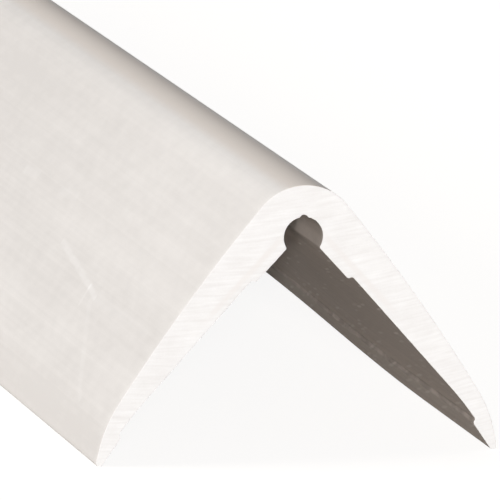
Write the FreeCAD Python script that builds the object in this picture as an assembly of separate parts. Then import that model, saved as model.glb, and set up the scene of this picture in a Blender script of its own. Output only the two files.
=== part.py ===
"""Corner guard moulding: one length of white extruded plastic, standing on its two toes.

All sizes are in millimetres. The section lies in the XZ plane and runs along Y.
"""
import math
import os

import FreeCAD
import Part

# Length of the stock.
stock_length = 1000.0

# Half of the angle between the two legs, measured at the inner lips.
half_angle = 43.2

# Crown, and the keyhole groove below it that lets the legs hinge open.
crown_radius = 5.45
crown_wall = 3.05
keyhole_diameter = 3.85
mouth_share = 0.83
notch_radius = 0.45
notch_depth = 0.22

# Inner face of a leg: plain lip, recess for a strip of tape, then the toe lip.
lip_length = 4.25
recess_depth = 0.44
tape_width = 19.05
curl_length = 3.9
floor_lean = 1.0
toe_curl_radius = 31.0
toe_step = 0.38
step_flank_angle = 30.0

# Outer face of a leg: long gentle bulge, then a bend into the toe.
leg_bulge_radius = 180.0
bend_lead = 1.9
bend_wall = 1.78
bend_radius = 12.7
bend_turn = 20.5
toe_tip_radius = 0.36

# Small rounding that the die leaves on the long inner corners.
corner_round = 0.2


def plus(point, direction, distance):
    return (point[0] + direction[0] * distance, point[1] + direction[1] * distance)


def unit(start, end):
    span = math.hypot(end[0] - start[0], end[1] - start[1])
    return ((end[0] - start[0]) / span, (end[1] - start[1]) / span)


def heading(turn):
    """Direction along a leg after it has turned inward by so many radians."""
    return (math.cos(turn), -math.sin(turn))


def outward(turn):
    """Direction out of a leg's outer face after the same turn."""
    return (math.sin(turn), math.cos(turn))


# A leg is laid out along its own lip plane: the first number runs down the leg from the
# inner corner, the second stands out from the lip plane toward the outer face.
slant = math.radians(half_angle)


def on_section(point):
    """Takes a point of the leg to the section, measured from the inner corner."""
    along, out = point
    x = along * math.sin(slant) + out * math.cos(slant)
    z = out * math.sin(slant) - along * math.cos(slant)
    return (x, z)


def on_leg(x, z):
    return (x * math.sin(slant) - z * math.cos(slant), x * math.cos(slant) + z * math.sin(slant))


# Keyhole, with the small notch at its top.
keyhole_radius = keyhole_diameter / 2
mouth_half = mouth_share * keyhole_radius
mouth_along = mouth_half / math.sin(slant)
mouth = (mouth_along, 0.0)
keyhole_z = math.sqrt(keyhole_radius ** 2 - mouth_half ** 2) - mouth_along * math.cos(slant)
notch_z = keyhole_z + keyhole_radius + notch_depth - notch_radius
notch_gap = notch_z - keyhole_z
notch_rise = (keyhole_radius ** 2 - notch_radius ** 2 + notch_gap ** 2) / (2 * notch_gap)
notch_edge = on_leg(math.sqrt(keyhole_radius ** 2 - notch_rise ** 2), keyhole_z + notch_rise)
keyhole_side = on_leg(keyhole_radius, keyhole_z)
notch_top = (0.0, notch_z + notch_radius)

# Lip, flat tape floor and the curl of the floor toward the toe.
flank = math.tan(math.radians(step_flank_angle))
lean = math.radians(floor_lean)
toe_turn = lean + curl_length / toe_curl_radius
lip_end = (mouth_along + lip_length, 0.0)
floor_start = (lip_end[0] + recess_depth * flank, recess_depth)
floor_bend = plus(floor_start, heading(lean), tape_width - curl_length)
curl_centre = plus(floor_bend, outward(lean), -toe_curl_radius)
floor_middle = plus(curl_centre, outward((lean + toe_turn) / 2), toe_curl_radius)
floor_end = plus(curl_centre, outward(toe_turn), toe_curl_radius)
step_foot = plus(floor_end, heading(toe_turn), toe_step * flank)
toe_lip_start = plus(step_foot, outward(toe_turn), -toe_step)

# Outer face: the bulge is tangent to the crown and reaches the start of the toe bend.
crown_top = (0.0, keyhole_z + keyhole_radius + crown_wall)
crown_centre = on_leg(0.0, crown_top[1] - crown_radius)
below_bend = plus(floor_start, heading(lean), tape_width - bend_lead)
bend_start = plus(below_bend, outward(lean), bend_wall)
reach = math.hypot(crown_centre[0] - bend_start[0], crown_centre[1] - bend_start[1])
inner_radius = leg_bulge_radius - crown_radius
foot = (leg_bulge_radius ** 2 - inner_radius ** 2 + reach ** 2) / (2 * reach)
drop = math.sqrt(leg_bulge_radius ** 2 - foot ** 2)
back = unit(bend_start, crown_centre)
bulge_centre = plus(plus(bend_start, back, foot), (-back[1], back[0]), drop)
crown_end = plus(crown_centre, unit(bulge_centre, crown_centre), crown_radius)
out_of_bend = unit(bulge_centre, bend_start)
out_of_crown = unit(bulge_centre, crown_end)
out_of_middle = unit((0.0, 0.0), plus(out_of_bend, out_of_crown, 1.0))
bulge_middle = plus(bulge_centre, out_of_middle, leg_bulge_radius)

# Toe: the bend, the straight face below it and the rounded tip.
turn_before = math.atan2(out_of_bend[0], out_of_bend[1])
turn_after = turn_before + math.radians(bend_turn)
bend_centre = plus(bend_start, out_of_bend, -bend_radius)
bend_middle = plus(bend_centre, outward((turn_before + turn_after) / 2), bend_radius)
bend_end = plus(bend_centre, outward(turn_after), bend_radius)
face_line = plus(bend_end, outward(turn_after), -toe_tip_radius)
lip_line = plus(toe_lip_start, outward(toe_turn), toe_tip_radius)
across = (lip_line[0] - face_line[0], lip_line[1] - face_line[1])
face_way = heading(turn_after)
lip_way = heading(toe_turn)
spread = face_way[0] * lip_way[1] - face_way[1] * lip_way[0]
face_run = (across[0] * lip_way[1] - across[1] * lip_way[0]) / spread
tip_centre = plus(face_line, face_way, face_run)
tip_outer = plus(tip_centre, outward(turn_after), toe_tip_radius)
tip_inner = plus(tip_centre, outward(toe_turn), -toe_tip_radius)
tip_middle = plus(tip_centre, heading((turn_after + toe_turn) / 2), toe_tip_radius)

# The section is lifted so that the toes stand on the floor.
floor_z = on_section(tip_centre)[1] - toe_tip_radius
cut_y = -stock_length / 2


def place(x, z):
    return FreeCAD.Vector(x, cut_y, z - floor_z)


def corner(point, side):
    x, z = on_section(point)
    return place(side * x, z)


def line(side, start, end):
    return Part.LineSegment(corner(start, side), corner(end, side)).toShape()


def arc(side, start, middle, end):
    return Part.Arc(corner(start, side), corner(middle, side), corner(end, side)).toShape()


def leg_outline(side):
    return [
        arc(side, notch_edge, keyhole_side, mouth),
        line(side, mouth, lip_end),
        line(side, lip_end, floor_start),
        line(side, floor_start, floor_bend),
        arc(side, floor_bend, floor_middle, floor_end),
        line(side, floor_end, toe_lip_start),
        line(side, toe_lip_start, tip_inner),
        arc(side, tip_inner, tip_middle, tip_outer),
        line(side, tip_outer, bend_end),
        arc(side, bend_end, bend_middle, bend_start),
        arc(side, bend_start, bulge_middle, crown_end),
    ]


left = -1
right = 1
crown = Part.Arc(corner(crown_end, left), place(*crown_top), corner(crown_end, right)).toShape()
notch = Part.Arc(corner(notch_edge, left), place(*notch_top), corner(notch_edge, right)).toShape()
edges = leg_outline(right) + leg_outline(left) + [crown, notch]
outline = Part.Wire(Part.__sortEdges__(edges))
stock = Part.Face(outline).extrude(FreeCAD.Vector(0, stock_length, 0))


def long_edge(point, side):
    """The edge that runs the length of the stock from one corner of the section."""
    start = corner(point, side)
    for edge in stock.Edges:
        first, last = edge.Vertexes[0].Point, edge.Vertexes[-1].Point
        runs_along = abs(first.y - last.y) > stock_length / 2
        if runs_along and math.hypot(first.x - start.x, first.z - start.z) < 1e-4:
            return edge
    raise ValueError("no long edge at this corner")


rounded = [mouth, lip_end, floor_start, floor_end, toe_lip_start]
soft_edges = [long_edge(point, side) for side in (left, right) for point in rounded]
moulding = stock.makeFillet(corner_round, soft_edges)

os.makedirs("parts", exist_ok=True)
moulding.exportStep("parts/corner_guard.step")

box = moulding.BoundBox
print("solids", len(moulding.Solids), "valid", moulding.isValid(), "volume", round(moulding.Volume, 1))
print("size", round(box.XLength, 3), round(box.YLength, 3), round(box.ZLength, 3))
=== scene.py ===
"""Corner guard moulding: the looks of one sawn length of white extruded plastic.

Sizes of the section are in millimetres. Everything that goes into the scene is in metres, in the
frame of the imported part: Y runs along the stock, Z is up and the toes stand on Z = 0.
"""
import cmath
import math

import bmesh
import bpy
import numpy as np
from mathutils import Matrix, Vector, noise


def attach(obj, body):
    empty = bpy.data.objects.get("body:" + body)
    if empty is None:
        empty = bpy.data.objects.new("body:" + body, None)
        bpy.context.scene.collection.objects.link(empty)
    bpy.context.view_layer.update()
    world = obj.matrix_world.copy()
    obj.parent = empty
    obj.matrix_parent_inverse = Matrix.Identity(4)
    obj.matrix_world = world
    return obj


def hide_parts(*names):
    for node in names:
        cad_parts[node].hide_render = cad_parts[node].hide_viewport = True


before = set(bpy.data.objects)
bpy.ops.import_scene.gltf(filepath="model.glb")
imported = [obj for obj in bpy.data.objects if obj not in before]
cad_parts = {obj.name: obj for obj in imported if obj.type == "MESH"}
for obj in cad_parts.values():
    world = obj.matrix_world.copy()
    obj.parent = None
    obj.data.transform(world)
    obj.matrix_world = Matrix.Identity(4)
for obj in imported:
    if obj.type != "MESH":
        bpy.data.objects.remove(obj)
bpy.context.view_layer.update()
mm = 0.001

# Section of the moulding, with the sizes that the part has.
stock_length = 1000.0
half_angle = 43.2
crown_radius = 5.45
crown_wall = 3.05
keyhole_diameter = 3.85
mouth_share = 0.83
notch_radius = 0.45
notch_depth = 0.22
lip_length = 4.25
recess_depth = 0.44
tape_width = 19.05
curl_length = 3.9
floor_lean = 1.0
toe_curl_radius = 31.0
toe_step = 0.38
step_flank_angle = 30.0
leg_bulge_radius = 180.0
bend_lead = 1.9
bend_wall = 1.78
bend_radius = 12.7
bend_turn = 20.5
toe_tip_radius = 0.36

# How finely the visible stock is made.
grain = 0.2
finest_turn = math.radians(7)
corner_ease = 0.12
corner_steps = 6
rim_ease = 0.03
rows_across_wall = 16
crisp_angle = math.radians(34)

# The sawn ends: marks of a blade that came down from above and to the left.
blade_centre = complex(-12.0, 128.0)
feed_pitch = 1.3
feed_depth = 0.016
tooth_pitch = 0.5
tooth_depth = 0.007
sway_share = 0.3
sway_rate = 0.2
drift_rate = 0.05
deepest_mark = 2 * (feed_depth + tooth_depth)

# The right leg has sprung open a little past the near end: how far its toe stands out, and between
# which distances from that end the opening grows and fades.
sprung_opening = 1.9
sprung_rise = (20.0, 88.0)
sprung_fall = (110.0, 330.0)
hinge_ease = 0.12

# Section as points of the plane, X as the real part and Z as the imaginary part, from the inner corner.
slant = math.radians(half_angle)
lean = math.radians(floor_lean)
flank = math.tan(math.radians(step_flank_angle))
toe_turn = lean + curl_length / toe_curl_radius


def down(turn=0.0):
    """Direction down the right leg after it has turned inward by so many radians."""
    return complex(math.sin(slant), -math.cos(slant)) * cmath.exp(-1j * turn)


def out(turn=0.0):
    """Direction out of the leg's outer face after the same turn."""
    return 1j * down(turn)


def cross(first, second):
    return (first.conjugate() * second).imag


# Keyhole groove, with the small notch at its top.
keyhole_radius = keyhole_diameter / 2
mouth_half = mouth_share * keyhole_radius
mouth = mouth_half / math.sin(slant) * down()
keyhole_centre = 1j * (math.sqrt(keyhole_radius ** 2 - mouth_half ** 2) + mouth.imag)
notch_gap = keyhole_radius + notch_depth - notch_radius
notch_centre = keyhole_centre + 1j * notch_gap
notch_rise = (keyhole_radius ** 2 - notch_radius ** 2 + notch_gap ** 2) / (2 * notch_gap)
notch_edge = keyhole_centre + complex(math.sqrt(keyhole_radius ** 2 - notch_rise ** 2), notch_rise)
notch_top = notch_centre + 1j * notch_radius

# Inner face: lip, tape recess with its curl, and the toe lip.
lip_end = mouth + lip_length * down()
floor_start = lip_end + recess_depth * (flank * down() + out())
floor_bend = floor_start + (tape_width - curl_length) * down(lean)
curl_centre = floor_bend - toe_curl_radius * out(lean)
floor_end = curl_centre + toe_curl_radius * out(toe_turn)
toe_lip_start = floor_end + toe_step * (flank * down(toe_turn) - out(toe_turn))

# Outer face: crown, long bulge of the leg and the bend into the toe.
crown_top = keyhole_centre + 1j * (keyhole_radius + crown_wall)
crown_centre = crown_top - 1j * crown_radius
bend_start = floor_start + (tape_width - bend_lead) * down(lean) + bend_wall * out(lean)
reach = abs(crown_centre - bend_start)
foot = (leg_bulge_radius ** 2 - (leg_bulge_radius - crown_radius) ** 2 + reach ** 2) / (2 * reach)
drop = math.sqrt(leg_bulge_radius ** 2 - foot ** 2)
bulge_centre = bend_start + (crown_centre - bend_start) / reach * complex(foot, drop)
crown_end = crown_centre + crown_radius * (crown_centre - bulge_centre) / abs(crown_centre - bulge_centre)
out_of_bend = (bend_start - bulge_centre) / leg_bulge_radius
turn_after = math.radians(bend_turn) - cmath.phase(out_of_bend / out())
bend_centre = bend_start - bend_radius * out_of_bend
bend_end = bend_centre + bend_radius * out(turn_after)

# Toe tip, tangent to the toe face and to the toe lip.
face_line = bend_end - toe_tip_radius * out(turn_after)
lip_line = toe_lip_start + toe_tip_radius * out(toe_turn)
face_run = cross(lip_line - face_line, down(toe_turn)) / cross(down(turn_after), down(toe_turn))
tip_centre = face_line + face_run * down(turn_after)
tip_outer = tip_centre + toe_tip_radius * out(turn_after)
tip_inner = tip_centre - toe_tip_radius * out(toe_turn)
tip_middle = tip_centre + toe_tip_radius * down((turn_after + toe_turn) / 2)
lift = toe_tip_radius - tip_centre.imag


def line(start, end):
    """Points from start up to, but not at, end."""
    steps = max(3, round(abs(end - start) / grain))
    return [start + (end - start) * step / steps for step in range(steps)]


def arc(centre, start, end):
    """Points on the shorter way round a centre, from start up to, but not at, end."""
    first = start - centre
    sweep = cmath.phase((end - centre) / first)
    steps = max(3, round(abs(first * sweep) / grain), round(abs(sweep) / finest_turn))
    return [centre + first * cmath.exp(1j * sweep * step / steps) for step in range(steps)]


def eased(trail, corner):
    """The same run of points with one corner rounded as the die leaves it."""
    near = [index for index, point in enumerate(trail) if abs(point - corner) < corner_ease]
    start = trail[near[0] - 1]
    end = trail[near[-1] + 1]
    bend = []
    for step in range(1, corner_steps):
        share = step / corner_steps
        bend.append((1 - share) ** 2 * start + 2 * share * (1 - share) * corner + share ** 2 * end)
    return trail[:near[0]] + bend + trail[near[-1] + 1:]


def nearest(trail, point):
    return min(range(len(trail)), key=lambda index: abs(trail[index] - point))


def travelled(trail):
    """Length of a run of points up to each of them, as a share of the whole."""
    sums = [0.0]
    for here, there in zip(trail, trail[1:]):
        sums.append(sums[-1] + abs(there - here))
    return [total / sums[-1] for total in sums]


def spaced_like(trail, model):
    """Points on one run at the same shares of its length as the points of another."""
    return [complex(point) for point in np.interp(travelled(model), travelled(trail), trail)]


def inner_trail():
    """Inner face of the right leg, from the top of the notch to the toe tip."""
    trail = arc(notch_centre, notch_top, notch_edge)
    trail += arc(keyhole_centre, notch_edge, mouth)
    trail += line(mouth, lip_end)
    trail += line(lip_end, floor_start)
    trail += line(floor_start, floor_bend)
    trail += arc(curl_centre, floor_bend, floor_end)
    trail += line(floor_end, toe_lip_start)
    trail += line(toe_lip_start, tip_inner)
    trail += arc(tip_centre, tip_inner, tip_middle)
    trail.append(tip_middle)
    for corner in (mouth, lip_end, floor_start, floor_end, toe_lip_start):
        trail = eased(trail, corner)
    return trail


def outer_trail(inner):
    """Outer face of the right leg, with a point across the wall from each inner one."""
    crown = arc(crown_centre, crown_top, crown_end) + [crown_end]
    leg = arc(bulge_centre, crown_end, bend_start) + arc(bend_centre, bend_start, bend_end) + [bend_end]
    toe = line(bend_end, tip_outer) + arc(tip_centre, tip_outer, tip_middle) + [tip_middle]
    stops = [0, nearest(inner, mouth), nearest(inner, toe_lip_start), len(inner) - 1]
    trail = []
    for run, first, last in zip((crown, leg, toe), stops, stops[1:]):
        trail += spaced_like(run, inner[first:last + 1])[:-1]
    trail.append(tip_middle)
    return trail


def both_legs(trail):
    """A right leg's points with their mirror image, from the left toe to the right one, on the floor."""
    left = [complex(-point.real, point.imag) for point in reversed(trail[1:])]
    return [point + 1j * lift for point in left + trail]


def inset(loop, depth):
    """A closed clockwise run of points moved into the wall by a small depth."""
    moved = []
    for index, point in enumerate(loop):
        way = loop[(index + 1) % len(loop)] - loop[index - 1]
        moved.append(point - 1j * way / abs(way) * depth)
    return moved


class Wall:
    """The section as a closed outline, and the pairs of points that face each other across the wall."""

    def __init__(self):
        inner = inner_trail()
        self.outer = both_legs(outer_trail(inner))
        self.inner = both_legs(inner)
        self.last = len(self.outer) - 1
        self.outline = self.outer + self.inner[-2:0:-1]

    def inner_corner(self, column):
        """Where the outline has the inner point that faces an outer one."""
        if column in (0, self.last):
            return column
        return 2 * self.last - column


def saw_relief(point, seed):
    """How deep the blade went at a point of a sawn end, in millimetres."""
    radius = abs(point - blade_centre)
    sway = sway_share * noise.noise(Vector((point.real * sway_rate, point.imag * sway_rate, seed)))
    feed = noise.noise(Vector((radius / feed_pitch + sway, 0.0, seed + 3.0)))
    tooth = noise.noise(Vector((radius / tooth_pitch + sway, point.real * drift_rate, seed + 7.0)))
    return feed_depth * (1 + feed) + tooth_depth * (1 + tooth)


class Stock:
    """Vertices and faces of the sawn length, gathered piece by piece."""

    outer_skin, inner_skin, sawn = range(3)

    def __init__(self, wall):
        self.wall = wall
        self.points = []
        self.drawn = []
        self.faces = []
        self.finishes = []

    def add_point(self, point, y, drawn=None):
        """Adds a point, and keeps where it lay in the section as drawn, before a leg sprang open."""
        before = point if drawn is None else drawn
        self.points.append((point.real * mm, y * mm, point.imag * mm))
        self.drawn.append((before.real * mm, y * mm, before.imag * mm))
        return len(self.points) - 1

    def add_face(self, corners, finish):
        self.faces.append(corners)
        self.finishes.append(finish)

    def add_ring(self, loop, depths, drawn=None):
        return [self.add_point(*spot) for spot in zip(loop, depths, drawn or loop)]

    def add_sleeve(self, near, far, inner_finish=inner_skin):
        """Joins two rings with a sleeve of quads: outer skin outside, the given finish inside."""
        count = len(near)
        for index in range(count):
            following = (index + 1) % count
            finish = self.outer_skin if index < self.wall.last else inner_finish
            self.add_face((near[index], near[following], far[following], far[index]), finish)

    def add_end(self, ring, y, way, seed):
        """Closes one end: a hair of rounding at the rim, then the sawn face with its saw marks."""
        outline = self.wall.outline
        half = rim_ease * (1 - math.sqrt(0.5))
        bent = inset(outline, half)
        shoulder = self.add_ring(bent, [y + way * (saw_relief(point, seed) + half) for point in bent])
        flat = inset(outline, rim_ease)
        rim = self.add_ring(flat, [y + way * saw_relief(point, seed) for point in flat])
        self.add_sleeve(ring, shoulder, self.sawn)
        self.add_sleeve(shoulder, rim, self.sawn)
        columns = [self.wall_column(flat, rim, column, y, way, seed) for column in range(1, self.wall.last)]
        for here, there in zip(columns, columns[1:]):
            for row in range(rows_across_wall):
                self.add_face((here[row], there[row], there[row + 1], here[row + 1]), self.sawn)
        for tip, column in ((rim[0], columns[0]), (rim[self.wall.last], columns[-1])):
            for row in range(rows_across_wall):
                self.add_face((tip, column[row], column[row + 1]), self.sawn)

    def wall_column(self, flat, rim, column, y, way, seed):
        """One row of points across the wall of a sawn end, from its outer rim to its inner rim."""
        facing = self.wall.inner_corner(column)
        corners = [rim[column]]
        for row in range(1, rows_across_wall):
            point = flat[column] + (flat[facing] - flat[column]) * row / rows_across_wall
            corners.append(self.add_point(point, y + way * saw_relief(point, seed)))
        return corners + [rim[facing]]


def ring_stations():
    """Distances from an end at which the stock has a ring of points, up to the middle."""
    distances = [rim_ease + deepest_mark, 1.0, 3.0, 6.0]
    distances += np.arange(10.0, 94.0, 4.0).tolist()
    distances += np.geomspace(100.0, 420.0, 10).tolist()
    return distances


def smooth_rise(value, low, high):
    share = min(1.0, max(0.0, (value - low) / (high - low)))
    return share * share * (3 - 2 * share)


def toe_opening(distance):
    """How far the right toe stands out at a distance from the near end."""
    return sprung_opening * (smooth_rise(distance, *sprung_rise) - smooth_rise(distance, *sprung_fall))


def opened(outline, y):
    """The section at a place along the stock, with its right leg hinged open at the keyhole."""
    opening = toe_opening(y + stock_length / 2)
    hinge = lift + keyhole_centre.imag
    whole_leg = math.hypot(1, hinge_ease) - hinge_ease
    moved = []
    for point in outline:
        below = max(0.0, 1 - point.imag / hinge) if point.real > 0 else 0.0
        leg_share = (math.hypot(below, hinge_ease) - hinge_ease) / whole_leg
        moved.append(point + leg_share * opening)
    return moved


def make_stock(finishes):
    wall = Wall()
    stock = Stock(wall)
    end = stock_length / 2
    near = [distance - end for distance in ring_stations()]
    stations = near + [0.0] + [-y for y in reversed(near)]
    count = len(wall.outline)
    rings = [stock.add_ring(opened(wall.outline, y), [y] * count, wall.outline) for y in stations]
    for here, there in zip(rings, rings[1:]):
        stock.add_sleeve(here, there)
    stock.add_end(rings[0], -end, 1, seed=11.0)
    stock.add_end(rings[-1], end, -1, seed=42.0)
    mesh = bpy.data.meshes.new("corner_guard_stock")
    mesh.from_pydata(stock.points, [], stock.faces)
    for finish in finishes:
        mesh.materials.append(finish)
    mesh.polygons.foreach_set("material_index", stock.finishes)
    as_drawn = mesh.attributes.new("as_drawn", "FLOAT_VECTOR", "POINT")
    as_drawn.data.foreach_set("vector", np.ravel(stock.drawn))
    settle_faces(mesh)
    piece = bpy.data.objects.new("corner_guard_stock", mesh)
    bpy.context.scene.collection.objects.link(piece)
    return piece


def settle_faces(mesh):
    """Turns the faces outward, and keeps the saw cut crisp while the drawn faces shade smoothly."""
    work = bmesh.new()
    work.from_mesh(mesh)
    bmesh.ops.recalc_face_normals(work, faces=work.faces)
    for face in work.faces:
        face.smooth = True
    for edge in work.edges:
        edge.smooth = edge.calc_face_angle(0.0) < crisp_angle
    work.to_mesh(mesh)
    work.free()


class Tone:
    """A socket in a finish's nodes. Arithmetic on it adds the Math nodes that work it out."""

    def __init__(self, tree, socket=None):
        self.tree = tree
        self.socket = socket

    def node(self, kind, settings=None, sockets=None, out=0):
        """Adds a node, sets it up, feeds its sockets with values or tones, and gives one output."""
        node = self.tree.nodes.new(kind)
        for name, value in (settings or {}).items():
            setattr(node, name, value)
        for name, value in (sockets or {}).items():
            socket = self.pick(node.inputs, name)
            if isinstance(value, Tone):
                self.tree.links.new(value.socket, socket)
            else:
                socket.default_value = value
        return Tone(self.tree, self.pick(node.outputs, out)) if node.outputs else None

    @staticmethod
    def pick(sockets, name):
        if isinstance(name, int):
            return sockets[name]
        return next(socket for socket in sockets if socket.enabled and socket.name == name)

    def math(self, operation, first, second=0.0):
        return self.node("ShaderNodeMath", {"operation": operation}, {0: first, 1: second})

    def __add__(self, other):
        return self.math("ADD", self, other)

    __radd__ = __add__

    def __sub__(self, other):
        return self.math("SUBTRACT", self, other)

    def __rsub__(self, other):
        return self.math("SUBTRACT", other, self)

    def __mul__(self, other):
        return self.math("MULTIPLY", self, other)

    def __abs__(self):
        return self.math("ABSOLUTE", self)

    def eased(self, low, high):
        """0 below low, 1 above high, smooth between; the other way round if low is above high."""
        settings = {"interpolation_type": "SMOOTHSTEP", "clamp": True}
        return self.node("ShaderNodeMapRange", settings, {"Value": self, "From Min": low, "From Max": high})

    def vector(self, operation, first, second, out="Vector"):
        return self.node("ShaderNodeVectorMath", {"operation": operation}, {0: first, 1: second}, out)

    def stretched(self, x, y, z):
        """A vector with its three parts scaled."""
        return self.vector("MULTIPLY", self, (x, y, z))

    def stroke(self, start, end, width):
        """1 on a straight mark between two places, fading to 0 at half its width to either side."""
        run = Vector(end) - Vector(start)
        arm = self.vector("SUBTRACT", self, start)
        share = self.vector("DOT_PRODUCT", arm, run / run.length_squared, "Value")
        held = self.math("MINIMUM", self.math("MAXIMUM", share, 0.0), 1.0)
        foot = self.node("ShaderNodeVectorMath", {"operation": "SCALE"}, {0: run, "Scale": held})
        return self.vector("DISTANCE", arm, foot, "Value").eased(width / 2, width / 8)

    def grainy(self, detail):
        """Cloudy noise at a place, about 0 and mostly within a half each way."""
        sockets = {"Vector": self, "Scale": 1.0, "Detail": detail, "Roughness": 0.5}
        return self.node("ShaderNodeTexNoise", {"noise_dimensions": "3D"}, sockets) - 0.5

    def marks(self, across, along, detail):
        """Cloudy marks at a place, so many to the metre across the stock and along it."""
        return self.stretched(across, along, across).grainy(detail)

    def parts(self):
        """The X, Y and Z of a vector."""
        split = self.node("ShaderNodeSeparateXYZ", {}, {"Vector": self}).socket.node
        return [Tone(self.tree, socket) for socket in split.outputs]

    def between(self, dark, light):
        """A colour between two, by this share."""
        sockets = {"Factor": self, "A": dark, "B": light}
        return self.node("ShaderNodeMix", {"data_type": "RGBA"}, sockets, "Result")


def new_finish(name):
    """An empty finish: the material, its first tone and the place on the part as drawn, in metres."""
    material = bpy.data.materials.new(name)
    material.use_nodes = True
    material.node_tree.nodes.clear()
    start = Tone(material.node_tree)
    place = start.node("ShaderNodeAttribute", {"attribute_name": "as_drawn"}, {}, "Vector")
    return material, start, place


def leg_layout(place):
    """How far a place is down its leg from the inner corner, and how far out from the lip plane."""
    across, _, up = place.parts()
    height = up - lift * mm
    down_leg = abs(across) * math.sin(slant) - height * math.cos(slant)
    from_lip = abs(across) * math.cos(slant) + height * math.sin(slant)
    return down_leg, from_lip


def from_cut(place):
    """Distance from the nearer sawn end."""
    return stock_length / 2 * mm - abs(place.parts()[1])


def from_bore(place):
    """Distance from the middle of the keyhole groove."""
    flat = place.stretched(1, 0, 1)
    return flat.vector("DISTANCE", flat, (0.0, 0.0, (lift + keyhole_centre.imag) * mm), "Value")


def coat_with(start, colour, roughness, height, bump_depth, gloss):
    """Ends a finish: plastic with a colour, a roughness and a fine relief in metres."""
    relief = start.node("ShaderNodeBump", {}, {"Strength": 1.0, "Distance": bump_depth, "Height": height})
    sockets = {"Base Color": colour, "Roughness": roughness, "Normal": relief, "Specular IOR Level": gloss}
    plastic = start.node("ShaderNodeBsdfPrincipled", {}, sockets)
    start.node("ShaderNodeOutputMaterial", {}, {"Surface": plastic})


# Outer skin: plain plastic from dull to pale, painted light and shade along and up the leg, a painted warm
# shade on the crown top and the rub marks.
outer_dull = (0.765, 0.728, 0.695, 1)
outer_pale = (0.915, 0.876, 0.84, 1)
# Painted warm shade on the top of the crown, and how much of it covers the plain skin.
crown_warm_shade = (0.87, 0.785, 0.715, 1)
crown_shade_cover = 0.8
rub_pale = (0.955, 0.925, 0.90, 1)
rub_cover = 0.5
outer_relief = 0.000008
outer_gloss = 0.06

# Inner skin: plastic from dull to pale, painted darker and warmer than the outer skin as shade, a painted
# highlight on the toe lip, painted shade in the groove and on the step, and dust.
inner_shade_dull = (0.64, 0.56, 0.50, 1)
inner_shade_pale = (0.84, 0.74, 0.665, 1)
# Painted highlight on the toe lip, and how much of it covers the skin.
toe_lip_highlight = (0.93, 0.87, 0.81, 1)
toe_lip_highlight_cover = 0.15
# Painted shade on the step at the toe lip.
step_shade_dark = (0.36, 0.315, 0.28, 1)
# Painted shade in the keyhole groove and on its lips.
groove_shade_dark = (0.25, 0.225, 0.20, 1)
dust_pale = (0.99, 0.90, 0.83, 1)
dust_cover = 0.9
dust_height = 1.1
inner_relief = 0.00002
inner_gloss = 0.04

# Sawn ends: plain plastic from dull to pale, and a faint dark line at a depth inside the wall.
sawn_dull = (0.82, 0.79, 0.77, 1)
sawn_pale = (0.97, 0.955, 0.945, 1)
line_dull = (0.88, 0.84, 0.815, 1)
line_depth = 0.0011
sawn_relief = 0.000006
sawn_gloss = 0.08

# Light rub marks on the left outer face: both ends, as distance from the cut and height, then the
# width and the strength.
rub_marks = [
    ((37.8, 13.4), (24.3, 11.9), 0.9, 0.8),
    ((24.3, 11.9), (21.3, 11.4), 0.8, 1.0),
    ((24.3, 11.9), (23.9, 10.3), 0.7, 0.6),
    ((21.3, 11.4), (4.3, 11.8), 1.2, 0.3),
    ((22.0, 11.0), (9.9, 4.3), 1.0, 0.35),
    ((47.0, 16.5), (42.0, 16.9), 1.2, 0.4),
    ((59.0, 16.2), (55.0, 16.5), 1.2, 0.4),
]


def rubbed(place):
    """Where the left outer face was rubbed: 1 on a mark, 0 on the clean skin."""
    side_view = place.stretched(0, 1, 1)
    marks = 0.0
    for (start_run, start_height), (end_run, end_height), width, strength in rub_marks:
        start = Vector((0, start_run - stock_length / 2, start_height)) * mm
        end = Vector((0, end_run - stock_length / 2, end_height)) * mm
        marks = side_view.stroke(start, end, width * mm) * strength + marks
    broken = 0.75 + place.marks(900, 900, 2.0)
    left_face = place.parts()[0].eased(0.0, -0.002)
    return marks * broken * left_face


def drawn_outer_finish():
    """Outer skin: satin white plastic with faint lines of the die, painted light and shade along and up the
    leg, a painted warm shade on the crown top and a few rub marks.
    """
    material, start, place = new_finish("drawn_outer_skin")
    die_lines = place.marks(2300, 5, 3.0)
    broad_bands = place.marks(420, 2.5, 1.0)
    clouds = place.marks(150, 90, 3.0)
    mottle = place.marks(900, 500, 2.0)
    speckle = place.marks(7000, 7000, 1.0)
    up = place.parts()[2]
    near_cut = from_cut(place).eased(0.1, 0.0)
    near_toe = up.eased(0.006, 0.002)
    near_crown = up.eased(0.0238, 0.0256)
    on_top = up.eased(0.0258, 0.0263)
    # Painted light and shade: paler near the cut and over the crown, darker far from the cut on the upper
    # leg and darker near the toe.
    painted_light_and_shade = up.eased(0.006, 0.018) * (near_cut * 0.45 - 0.31) + near_crown * 0.36 - near_toe * 0.32
    share = 0.31 + painted_light_and_shade + die_lines * 0.5 + broad_bands * 0.5 + clouds * 0.6 + mottle * 0.5
    plain = share.between(outer_dull, outer_pale)
    # Painted warm shade on the crown top.
    shade_tinted = (on_top * crown_shade_cover).between(plain, crown_warm_shade)
    colour = (rubbed(place) * rub_cover).between(shade_tinted, rub_pale)
    roughness = 0.60 + clouds * 0.12 + die_lines * 0.08
    coat_with(start, colour, roughness, die_lines + speckle * 0.35, outer_relief, outer_gloss)
    return material


def groove_painted_shade(place):
    """Painted shade in the keyhole groove, darker away from the cut, that thins out on the lips."""
    depth = from_cut(place)
    reach = from_bore(place)
    in_groove = reach.eased(0.0023, 0.0020) * (0.34 + depth.eased(0.0075, 0.0087) * 0.40)
    on_lips = reach.eased(0.0052, 0.0019) * (0.15 + depth.eased(0.0035, 0.009)) * 0.45
    return place.math("MAXIMUM", in_groove, on_lips)


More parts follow.
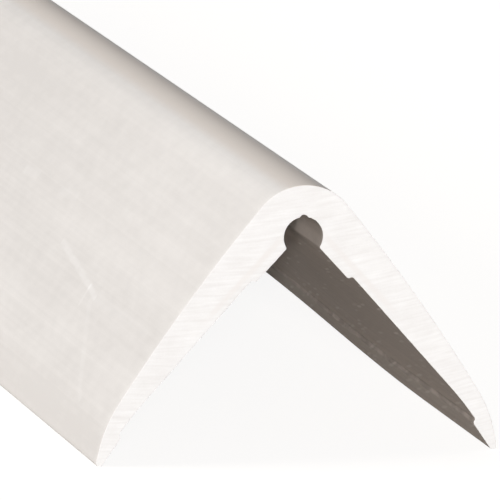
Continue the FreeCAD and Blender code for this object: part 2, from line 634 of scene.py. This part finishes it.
def step_painted_shade(place, off_step):
    """Painted shade on the small step at the toe lip, broken along the length and thinner far from the cut.
    """
    broken = place.marks(900, 420, 3.0).eased(0.16, -0.10)
    near_end = 0.35 + from_cut(place).eased(0.075, 0.03) * 0.65
    return abs(off_step).eased(0.00024, 0.0001) * (0.24 + broken * 0.46) * near_end


# Dust on the inner face lies in slanted cells: their length along the stock, their width down the leg,
# the slant, and how far apart the patterns of the two legs are.
dust_run = 0.0076
dust_width = 0.00064
dust_slant = 0.318
leg_shift = 37.0


def inner_dust(place, by_lip):
    """Pale specks of dust, thicker by the toe lip and thinner far from the cut; some cells have none."""
    across, along, _ = place.parts()
    down_leg = leg_layout(place)[0]
    column = (down_leg - along * dust_slant) * (1 / dust_width)
    row = along * (1 / dust_run)
    which_leg = across.eased(-0.0001, 0.0001) * leg_shift
    cells = place.node("ShaderNodeCombineXYZ", {}, {"X": column, "Y": row, "Z": which_leg})
    layout = {"Vector": cells, "Scale": 1.0, "Randomness": 1.0}
    away = place.node("ShaderNodeTexVoronoi", {}, layout, "Distance")
    chance = place.node("ShaderNodeTexVoronoi", {}, layout, "Color").parts()[0]
    specks = away.eased(0.36, 0.14) * (chance + by_lip * 0.3).eased(0.20, 0.85)
    patches = place.marks(300, 45, 2.0).eased(-0.30, 0.05)
    clear_of_groove = from_bore(place).eased(0.0020, 0.0028)
    near_end = 0.3 + from_cut(place).eased(0.160, 0.110) * 0.7
    return specks * clear_of_groove * near_end * place.math("MAXIMUM", patches, by_lip * 0.9)


def drawn_inner_finish():
    """Inner skin: painted darker and warmer than the outer skin as shade and paler down the leg as painted
    light, with drawn streaks, dust, a painted highlight on the toe lip, and painted shade in the groove and
    on the step.
    """
    material, start, place = new_finish("drawn_inner_skin")
    streaks = place.marks(1500, 4, 3.0)
    clouds = place.marks(200, 120, 3.0)
    mottle = place.marks(2200, 1100, 2.0)
    down_leg = leg_layout(place)[0]
    # Painted light: paler down the leg towards the toe.
    share = 0.32 + down_leg.eased(0.010, 0.025) * 0.52 + streaks * 1.1 + clouds * 0.5 + mottle * 0.6
    # The inner colours are painted shade: darker and warmer than the outer skin of the same plastic.
    skin = share.between(inner_shade_dull, inner_shade_pale)
    crest = (toe_lip_start / down()).real * mm
    toe_lip = down_leg.eased(crest - 0.0002, crest + 0.0005)
    by_lip = abs(down_leg - crest + 0.0012).eased(0.0045, 0.0015)
    off_step = down_leg - crest + 0.0001
    step_shade = step_painted_shade(place, off_step)
    # Painted highlight on the toe lip.
    lipped = (toe_lip * toe_lip_highlight_cover).between(skin, toe_lip_highlight)
    # Painted shade on the step at the toe lip.
    stepped = step_shade.between(lipped, step_shade_dark)
    dust = inner_dust(place, by_lip) * (0.45 + abs(off_step).eased(0.0001, 0.0004) * 0.55)
    dusty = (dust * dust_cover).between(stepped, dust_pale)
    # Painted shade in the keyhole groove and on its lips.
    colour = groove_painted_shade(place).between(dusty, groove_shade_dark)
    roughness = 0.72 + clouds * 0.1
    height = streaks * 0.6 + mottle + dust * dust_height
    coat_with(start, colour, roughness, height, inner_relief, inner_gloss)
    return material


def sawn_finish():
    """Sawn ends: paler, with the arcs that the blade's teeth left and a faint dark line inside the wall."""
    material, start, place = new_finish("sawn_end")
    across, along, _ = place.parts()
    flat = place.stretched(1, 0, 1)
    centre = (blade_centre.real * mm, 0.0, blade_centre.imag * mm)
    radius = flat.vector("DISTANCE", flat, centre, "Value")
    arcs = start.node("ShaderNodeCombineXYZ", {}, {"X": radius * 3600, "Y": across * 260, "Z": along * 4})
    tooth_marks = arcs.grainy(2.0)
    patches = place.marks(420, 420, 3.0)
    fine = place.marks(5200, 5200, 1.0)
    share = 0.62 + tooth_marks * 1.1 + patches * 0.7 + fine * 0.3
    plain = share.between(sawn_dull, sawn_pale)
    down_leg, from_lip = leg_layout(place)
    wall_line = abs(from_lip - line_depth).eased(0.00045, 0.0001)
    upper_leg = down_leg.eased(0.001, 0.003) * down_leg.eased(0.0135, 0.010)
    line_share = wall_line * upper_leg * (0.7 + patches)
    colour = line_share.between(plain, line_dull)
    roughness = 0.62 + patches * 0.12
    coat_with(start, colour, roughness, tooth_marks + fine * 0.3, sawn_relief, sawn_gloss)
    return material


# Stage: pale floor, white surroundings, a broad light from the left, one from the front, a narrow low
# one from the front left, and a weak one behind.
floor_half = 30.0
floor_glow = 0.88
floor_colour = (0.317, 0.29, 0.263, 1)
surround_light = 0.12
left_way = Vector((-0.92, 0.20, 0.37))
left_strength = 1.88
left_soft = math.radians(25)
front_way = Vector((-0.188, -1.0, 0.205))
front_strength = 2.12
front_soft = math.radians(7)
side_way = Vector((-0.455, -1.0, 0.10))
side_strength = 0.86
side_soft = math.radians(3)
rear_way = Vector((0.35, 0.90, 0.25))
rear_strength = 0.85
rear_soft = math.radians(25)


def seen_directly(start):
    """1 for what the camera sees, straight, mirrored or through glass, and 0 for scattered light."""
    path = start.node("ShaderNodeLightPath").socket.node
    names = ("Is Camera Ray", "Is Glossy Ray", "Is Transmission Ray")
    straight, mirrored, through = [Tone(start.tree, path.outputs[name]) for name in names]
    return start.math("MINIMUM", straight + mirrored + through, 1.0)


def lay_floor():
    """A wide pale floor that shows white and keeps a faint shadow of the stock."""
    material = bpy.data.materials.new("pale_floor")
    material.use_nodes = True
    material.node_tree.nodes.clear()
    start = Tone(material.node_tree)
    matt = start.node("ShaderNodeBsdfDiffuse", {}, {"Color": floor_colour})
    glow = start.node("ShaderNodeEmission", {}, {"Color": (1, 1, 1, 1), "Strength": floor_glow})
    lit = start.node("ShaderNodeAddShader", {}, {0: matt, 1: glow})
    shown = start.node("ShaderNodeMixShader", {}, {0: seen_directly(start), 1: matt, 2: lit})
    start.node("ShaderNodeOutputMaterial", {}, {"Surface": shown})
    mesh = bpy.data.meshes.new("pale_floor")
    corners = [(-floor_half, -floor_half, 0), (floor_half, -floor_half, 0)]
    corners += [(floor_half, floor_half, 0), (-floor_half, floor_half, 0)]
    mesh.from_pydata(corners, [], [(0, 1, 2, 3)])
    mesh.materials.append(material)
    floor = bpy.data.objects.new("pale_floor", mesh)
    bpy.context.scene.collection.objects.link(floor)


def light_surroundings():
    world = bpy.data.worlds.new("pale_surroundings")
    world.use_nodes = True
    world.node_tree.nodes.clear()
    start = Tone(world.node_tree)
    dim = start.node("ShaderNodeBackground", {}, {"Color": (1, 1, 1, 1), "Strength": surround_light})
    white = start.node("ShaderNodeBackground", {}, {"Color": (1, 1, 1, 1), "Strength": 1.0})
    shown = start.node("ShaderNodeMixShader", {}, {0: seen_directly(start), 1: dim, 2: white})
    start.node("ShaderNodeOutputWorld", {}, {"Surface": shown})
    bpy.context.scene.world = world


def hang_light(name, way, strength, softness, glossy=True):
    lamp = bpy.data.lights.new(name, "SUN")
    lamp.energy = strength
    lamp.angle = softness
    holder = bpy.data.objects.new(name, lamp)
    holder.rotation_euler = (-way).to_track_quat("-Z", "Y").to_euler()
    holder.visible_glossy = glossy
    bpy.context.scene.collection.objects.link(holder)


# Camera: a long lens near the sawn end, a little to the left of the stock and above it.
camera_spot = Vector((-0.263698, -1.336888, 0.208591))
camera_yaw = math.radians(17.1624)
camera_pitch = math.radians(12.1308)
camera_roll = math.radians(-1.5222)
camera_lens = 686.673


def aim_camera():
    flat = math.cos(camera_pitch)
    forward = Vector((math.sin(camera_yaw) * flat, math.cos(camera_yaw) * flat, -math.sin(camera_pitch)))
    level = Vector((math.cos(camera_yaw), -math.sin(camera_yaw), 0))
    above = level.cross(forward)
    right = math.cos(camera_roll) * level - math.sin(camera_roll) * above
    top = math.sin(camera_roll) * level + math.cos(camera_roll) * above
    lens = bpy.data.cameras.new("photo_view")
    lens.lens = camera_lens
    lens.sensor_width = 36.0
    lens.clip_end = 100.0
    camera = bpy.data.objects.new("photo_view", lens)
    turned = Matrix((right, top, -forward)).transposed().to_4x4()
    camera.matrix_world = Matrix.Translation(camera_spot) @ turned
    bpy.context.scene.collection.objects.link(camera)
    bpy.context.scene.camera = camera


aim_camera()
stock = make_stock([drawn_outer_finish(), drawn_inner_finish(), sawn_finish()])
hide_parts("corner_guard")
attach(stock, "root")
lay_floor()
light_surroundings()
hang_light("left_light", left_way, left_strength, left_soft)
hang_light("front_light", front_way, front_strength, front_soft)
hang_light("side_light", side_way, side_strength, side_soft)
hang_light("rear_light", rear_way, rear_strength, rear_soft, glossy=False)
bpy.context.scene.view_settings.view_transform = "Standard"
